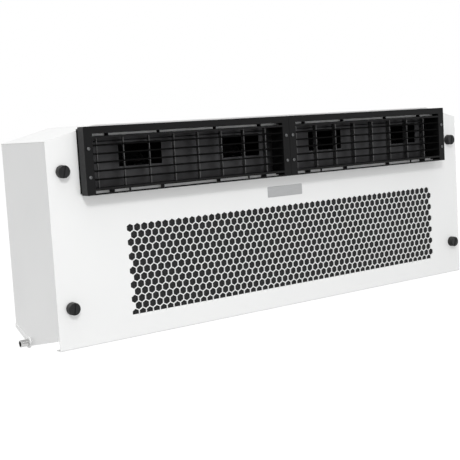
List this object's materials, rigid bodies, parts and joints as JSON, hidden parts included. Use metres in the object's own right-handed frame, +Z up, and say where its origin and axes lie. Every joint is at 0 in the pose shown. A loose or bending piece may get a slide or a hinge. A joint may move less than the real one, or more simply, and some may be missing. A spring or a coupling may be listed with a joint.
{
  "type": "in-wall evaporator",
  "caption": "White sheet-metal in-wall evaporator with a perforated return panel, black louvred vents, blowers and a finned coil over a V-shaped drain pan.",
  "frame": {"origin": "centre of the rectangle of four wall bolts, on the outer plane of the back panel", "axes": "+X to the right along the front panel as seen from the room, +Y back into the wall, +Z up"},
  "size_m": [1.0074, 0.2322, 0.3822],
  "materials": {
    "white_powder_coat": "satin",
    "black_moulded_plastic": "fine grain",
    "galvanised_steel": "dull zinc",
    "dark_primed_steel": "flat primer",
    "zinc_plated_screw": "bright zinc",
    "satin_aluminium": "satin",
    "filter_foam": "open-cell foam",
    "tube_metal": "drawn tube",
    "motor_enamel": "enamel",
    "fin_aluminium": "mill",
    "copper": "drawn tube",
    "brass": "turned",
    "valve_brass": "forged",
    "rubber": "matt"
  },
  "bodies": {
    "housing": {"back_panel": "white_powder_coat", "left_end_panel": "white_powder_coat", "right_end_panel": "white_powder_coat", "top_cover": "white_powder_coat", "drain_pan": "white_powder_coat", "drain_tube": "tube_metal", "panel_receptacles": "galvanised_steel", "blower_deck": "dark_primed_steel", "blower_scrolls": "black_moulded_plastic", "blower_motors": "motor_enamel", "motor_cradles": "galvanised_steel", "coil_fins": "fin_aluminium", "coil_end_plates": "galvanised_steel", "coil_tubes": "copper", "suction_header": "copper", "expansion_valve": "valve_brass", "distributor": "brass", "liquid_line": "copper", "line_grommets": "rubber", "terminal_block": "black_moulded_plastic"},
    "removable_panel": {"front_panel": "white_powder_coat", "nameplate": "satin_aluminium", "filter_channels": "white_powder_coat", "filter_media": "filter_foam", "vent_bezels": "black_moulded_plastic", "vent_screws": "zinc_plated_screw"},
    "vane_left_1": {"vane_left_1": "black_moulded_plastic"},
    "vane_left_2": {"vane_left_2": "black_moulded_plastic"},
    "vane_left_3": {"vane_left_3": "black_moulded_plastic"},
    "vane_left_4": {"vane_left_4": "black_moulded_plastic"},
    "vane_left_5": {"vane_left_5": "black_moulded_plastic"},
    "blade_left_1": {"blade_left_1": "black_moulded_plastic"},
    "blade_left_2": {"blade_left_2": "black_moulded_plastic"},
    "blade_left_3": {"blade_left_3": "black_moulded_plastic"},
    "blade_left_4": {"blade_left_4": "black_moulded_plastic"},
    "blade_left_5": {"blade_left_5": "black_moulded_plastic"},
    "blade_left_6": {"blade_left_6": "black_moulded_plastic"},
    "blade_left_7": {"blade_left_7": "black_moulded_plastic"},
    "blade_left_8": {"blade_left_8": "black_moulded_plastic"},
    "tie_bar_left": {"tie_bar_left": "black_moulded_plastic"},
    "vane_right_1": {"vane_right_1": "black_moulded_plastic"},
    "vane_right_2": {"vane_right_2": "black_moulded_plastic"},
    "vane_right_3": {"vane_right_3": "black_moulded_plastic"},
    "vane_right_4": {"vane_right_4": "black_moulded_plastic"},
    "vane_right_5": {"vane_right_5": "black_moulded_plastic"},
    "blade_right_1": {"blade_right_1": "black_moulded_plastic"},
    "blade_right_2": {"blade_right_2": "black_moulded_plastic"},
    "blade_right_3": {"blade_right_3": "black_moulded_plastic"},
    "blade_right_4": {"blade_right_4": "black_moulded_plastic"},
    "blade_right_5": {"blade_right_5": "black_moulded_plastic"},
    "blade_right_6": {"blade_right_6": "black_moulded_plastic"},
    "blade_right_7": {"blade_right_7": "black_moulded_plastic"},
    "blade_right_8": {"blade_right_8": "black_moulded_plastic"},
    "tie_bar_right": {"tie_bar_right": "black_moulded_plastic"},
    "thumbscrew_upper_left": {"thumbscrew_upper_left": "black_moulded_plastic"},
    "thumbscrew_lower_left": {"thumbscrew_lower_left": "black_moulded_plastic"},
    "thumbscrew_upper_right": {"thumbscrew_upper_right": "black_moulded_plastic"},
    "thumbscrew_lower_right": {"thumbscrew_lower_right": "black_moulded_plastic"},
    "rotor_left": {"rotor_left": "black_moulded_plastic"},
    "rotor_right": {"rotor_right": "black_moulded_plastic"}
  },
  "joints": [
    {"name": "panel_removal", "type": "slide", "parent": "housing", "child": "removable_panel", "axis": [0, -1, 0], "range_m": [0, 0.15]},
    {"name": "vane_left_1_tilt", "type": "hinge", "parent": "removable_panel", "child": "vane_left_1", "pos_m": [-0.2215, -0.1981, 0.0941], "axis": [1, 0, 0], "range_deg": [-40, 40]},
    {"name": "vane_left_2_tilt", "type": "hinge", "parent": "removable_panel", "child": "vane_left_2", "pos_m": [-0.2215, -0.1981, 0.10825], "axis": [1, 0, 0], "range_deg": [-40, 40]},
    {"name": "vane_left_3_tilt", "type": "hinge", "parent": "removable_panel", "child": "vane_left_3", "pos_m": [-0.2215, -0.1981, 0.1224], "axis": [1, 0, 0], "range_deg": [-40, 40]},
    {"name": "vane_left_4_tilt", "type": "hinge", "parent": "removable_panel", "child": "vane_left_4", "pos_m": [-0.2215, -0.1981, 0.13655], "axis": [1, 0, 0], "range_deg": [-40, 40]},
    {"name": "vane_left_5_tilt", "type": "hinge", "parent": "removable_panel", "child": "vane_left_5", "pos_m": [-0.2215, -0.1981, 0.1507], "axis": [1, 0, 0], "range_deg": [-40, 40]},
    {"name": "blade_left_1_turn", "type": "hinge", "parent": "removable_panel", "child": "blade_left_1", "pos_m": [-0.4, -0.1756, 0.12095], "axis": [0, 0, 1], "range_deg": [-10, 60]},
    {"name": "blade_left_2_turn", "type": "hinge", "parent": "removable_panel", "child": "blade_left_2", "pos_m": [-0.349, -0.1756, 0.12095], "axis": [0, 0, 1], "range_deg": [-10, 60]},
    {"name": "blade_left_3_turn", "type": "hinge", "parent": "removable_panel", "child": "blade_left_3", "pos_m": [-0.298, -0.1756, 0.12095], "axis": [0, 0, 1], "range_deg": [-10, 60]},
    {"name": "blade_left_4_turn", "type": "hinge", "parent": "removable_panel", "child": "blade_left_4", "pos_m": [-0.247, -0.1756, 0.12095], "axis": [0, 0, 1], "range_deg": [-10, 60]},
    {"name": "blade_left_5_turn", "type": "hinge", "parent": "removable_panel", "child": "blade_left_5", "pos_m": [-0.196, -0.1756, 0.12095], "axis": [0, 0, 1], "range_deg": [-10, 60]},
    {"name": "blade_left_6_turn", "type": "hinge", "parent": "removable_panel", "child": "blade_left_6", "pos_m": [-0.145, -0.1756, 0.12095], "axis": [0, 0, 1], "range_deg": [-10, 60]},
    {"name": "blade_left_7_turn", "type": "hinge", "parent": "removable_panel", "child": "blade_left_7", "pos_m": [-0.094, -0.1756, 0.12095], "axis": [0, 0, 1], "range_deg": [-10, 60]},
    {"name": "blade_left_8_turn", "type": "hinge", "parent": "removable_panel", "child": "blade_left_8", "pos_m": [-0.043, -0.1756, 0.12095], "axis": [0, 0, 1], "range_deg": [-10, 60]},
    {"name": "tie_bar_left_swing", "type": "hinge", "parent": "blade_left_1", "child": "tie_bar_left", "pos_m": [-0.3962, -0.16744, 0.1568], "axis": [0, 0, 1], "range_deg": [-60, 10]},
    {"name": "vane_right_1_tilt", "type": "hinge", "parent": "removable_panel", "child": "vane_right_1", "pos_m": [0.2115, -0.1981, 0.0941], "axis": [1, 0, 0], "range_deg": [-40, 40]},
    {"name": "vane_right_2_tilt", "type": "hinge", "parent": "removable_panel", "child": "vane_right_2", "pos_m": [0.2115, -0.1981, 0.10825], "axis": [1, 0, 0], "range_deg": [-40, 40]},
    {"name": "vane_right_3_tilt", "type": "hinge", "parent": "removable_panel", "child": "vane_right_3", "pos_m": [0.2115, -0.1981, 0.1224], "axis": [1, 0, 0], "range_deg": [-40, 40]},
    {"name": "vane_right_4_tilt", "type": "hinge", "parent": "removable_panel", "child": "vane_right_4", "pos_m": [0.2115, -0.1981, 0.13655], "axis": [1, 0, 0], "range_deg": [-40, 40]},
    {"name": "vane_right_5_tilt", "type": "hinge", "parent": "removable_panel", "child": "vane_right_5", "pos_m": [0.2115, -0.1981, 0.1507], "axis": [1, 0, 0], "range_deg": [-40, 40]},
    {"name": "blade_right_1_turn", "type": "hinge", "parent": "removable_panel", "child": "blade_right_1", "pos_m": [0.033, -0.1756, 0.12095], "axis": [0, 0, 1], "range_deg": [-10, 60]},
    {"name": "blade_right_2_turn", "type": "hinge", "parent": "removable_panel", "child": "blade_right_2", "pos_m": [0.084, -0.1756, 0.12095], "axis": [0, 0, 1], "range_deg": [-10, 60]},
    {"name": "blade_right_3_turn", "type": "hinge", "parent": "removable_panel", "child": "blade_right_3", "pos_m": [0.135, -0.1756, 0.12095], "axis": [0, 0, 1], "range_deg": [-10, 60]},
    {"name": "blade_right_4_turn", "type": "hinge", "parent": "removable_panel", "child": "blade_right_4", "pos_m": [0.186, -0.1756, 0.12095], "axis": [0, 0, 1], "range_deg": [-10, 60]},
    {"name": "blade_right_5_turn", "type": "hinge", "parent": "removable_panel", "child": "blade_right_5", "pos_m": [0.237, -0.1756, 0.12095], "axis": [0, 0, 1], "range_deg": [-10, 60]},
    {"name": "blade_right_6_turn", "type": "hinge", "parent": "removable_panel", "child": "blade_right_6", "pos_m": [0.288, -0.1756, 0.12095], "axis": [0, 0, 1], "range_deg": [-10, 60]},
    {"name": "blade_right_7_turn", "type": "hinge", "parent": "removable_panel", "child": "blade_right_7", "pos_m": [0.339, -0.1756, 0.12095], "axis": [0, 0, 1], "range_deg": [-10, 60]},
    {"name": "blade_right_8_turn", "type": "hinge", "parent": "removable_panel", "child": "blade_right_8", "pos_m": [0.39, -0.1756, 0.12095], "axis": [0, 0, 1], "range_deg": [-10, 60]},
    {"name": "tie_bar_right_swing", "type": "hinge", "parent": "blade_right_1", "child": "tie_bar_right", "pos_m": [0.0368, -0.16744, 0.1568], "axis": [0, 0, 1], "range_deg": [-60, 10]},
    {"name": "thumbscrew_upper_left_turn", "type": "hinge", "parent": "removable_panel", "child": "thumbscrew_upper_left", "pos_m": [-0.4685, -0.1786, 0.1115], "axis": [0, -1, 0], "range_deg": [0, 90]},
    {"name": "thumbscrew_lower_left_turn", "type": "hinge", "parent": "removable_panel", "child": "thumbscrew_lower_left", "pos_m": [-0.4685, -0.1786, -0.1154], "axis": [0, -1, 0], "range_deg": [0, 90]},
    {"name": "thumbscrew_upper_right_turn", "type": "hinge", "parent": "removable_panel", "child": "thumbscrew_upper_right", "pos_m": [0.4685, -0.1786, 0.1115], "axis": [0, -1, 0], "range_deg": [0, 90]},
    {"name": "thumbscrew_lower_right_turn", "type": "hinge", "parent": "removable_panel", "child": "thumbscrew_lower_right", "pos_m": [0.4685, -0.1786, -0.1154], "axis": [0, -1, 0], "range_deg": [0, 90]},
    {"name": "rotor_left_spin", "type": "hinge", "parent": "housing", "child": "rotor_left", "pos_m": [-0.1899, -0.0686, 0.102], "axis": [1, 0, 0], "continuous": true},
    {"name": "rotor_right_spin", "type": "hinge", "parent": "housing", "child": "rotor_right", "pos_m": [0.2441, -0.0686, 0.102], "axis": [1, 0, 0], "continuous": true}
  ],
  "couplings": [
    {"joint": "blade_left_2_turn", "follows": "blade_left_1_turn", "ratio": 1},
    {"joint": "blade_left_3_turn", "follows": "blade_left_1_turn", "ratio": 1},
    {"joint": "blade_left_4_turn", "follows": "blade_left_1_turn", "ratio": 1},
    {"joint": "blade_left_5_turn", "follows": "blade_left_1_turn", "ratio": 1},
    {"joint": "blade_left_6_turn", "follows": "blade_left_1_turn", "ratio": 1},
    {"joint": "blade_left_7_turn", "follows": "blade_left_1_turn", "ratio": 1},
    {"joint": "blade_left_8_turn", "follows": "blade_left_1_turn", "ratio": 1},
    {"joint": "tie_bar_left_swing", "follows": "blade_left_1_turn", "ratio": -1},
    {"joint": "blade_right_2_turn", "follows": "blade_right_1_turn", "ratio": 1},
    {"joint": "blade_right_3_turn", "follows": "blade_right_1_turn", "ratio": 1},
    {"joint": "blade_right_4_turn", "follows": "blade_right_1_turn", "ratio": 1},
    {"joint": "blade_right_5_turn", "follows": "blade_right_1_turn", "ratio": 1},
    {"joint": "blade_right_6_turn", "follows": "blade_right_1_turn", "ratio": 1},
    {"joint": "blade_right_7_turn", "follows": "blade_right_1_turn", "ratio": 1},
    {"joint": "blade_right_8_turn", "follows": "blade_right_1_turn", "ratio": 1},
    {"joint": "tie_bar_right_swing", "follows": "blade_right_1_turn", "ratio": -1}
  ]
}
